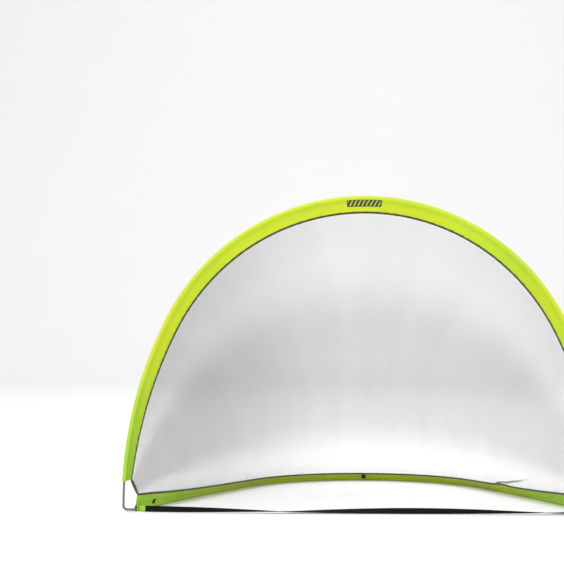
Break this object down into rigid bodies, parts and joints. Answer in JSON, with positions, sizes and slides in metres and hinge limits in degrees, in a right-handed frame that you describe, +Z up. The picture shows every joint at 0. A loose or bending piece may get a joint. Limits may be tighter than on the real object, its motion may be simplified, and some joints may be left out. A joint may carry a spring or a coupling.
{
  "type": "pop-up ball goal",
  "caption": "Free-standing folding ball goal: a sprung rod loop in fabric sleeves forms a standing front arch and a ground arc, with a net between them and a strap across the mouth.",
  "frame": {"origin": "centre of the goal's bounding box in plan, on the ground", "axes": "+X to the right seen from the front, along the mouth; the mouth faces -Y and the net runs back towards +Y; +Z up"},
  "size_m": [1.2214, 0.7882, 0.795],
  "materials": {
    "sleeve_fabric": "bright lime polyester, plain weave with a slight sheen",
    "binding_tape": "dark folded grosgrain tape, stitched",
    "net_mesh": "fine dark knitted mesh, see-through",
    "webbing": "black flat woven webbing",
    "patch_label": "plain dark woven patch with a stitched edge",
    "rod": "dark grey coated springy rod, scuffed at the feet",
    "ferrule": "plain steel tube"
  },
  "bodies": {
    "ground_frame": {"ground_rod": "rod", "rod_ferrule": "ferrule", "ground_sleeve": "sleeve_fabric", "ground_binding": "binding_tape", "net": "net_mesh", "left_corner_binding": "binding_tape", "right_corner_binding": "binding_tape", "mouth_strap": "webbing", "left_strap_anchor": "sleeve_fabric", "right_strap_anchor": "sleeve_fabric", "left_peg_loop": "webbing", "right_peg_loop": "webbing", "rear_peg_loop": "webbing", "left_loop_patch": "webbing", "right_loop_patch": "webbing", "rear_loop_patch": "webbing"},
    "front_arch": {"arch_rod": "rod", "front_sleeve": "sleeve_fabric", "front_binding": "binding_tape", "top_patch": "patch_label"}
  },
  "joints": [
    {"name": "arch_fold", "type": "hinge", "parent": "ground_frame", "child": "front_arch", "pos_m": [0, -0.3706, 0.0055], "axis": [-1, 0, 0], "range_deg": [0, 80], "stiffness_Nm_per_rad": 2.5, "springref_deg": -17.19, "deforming": ["net", "left_corner_binding", "right_corner_binding"]}
  ]
}
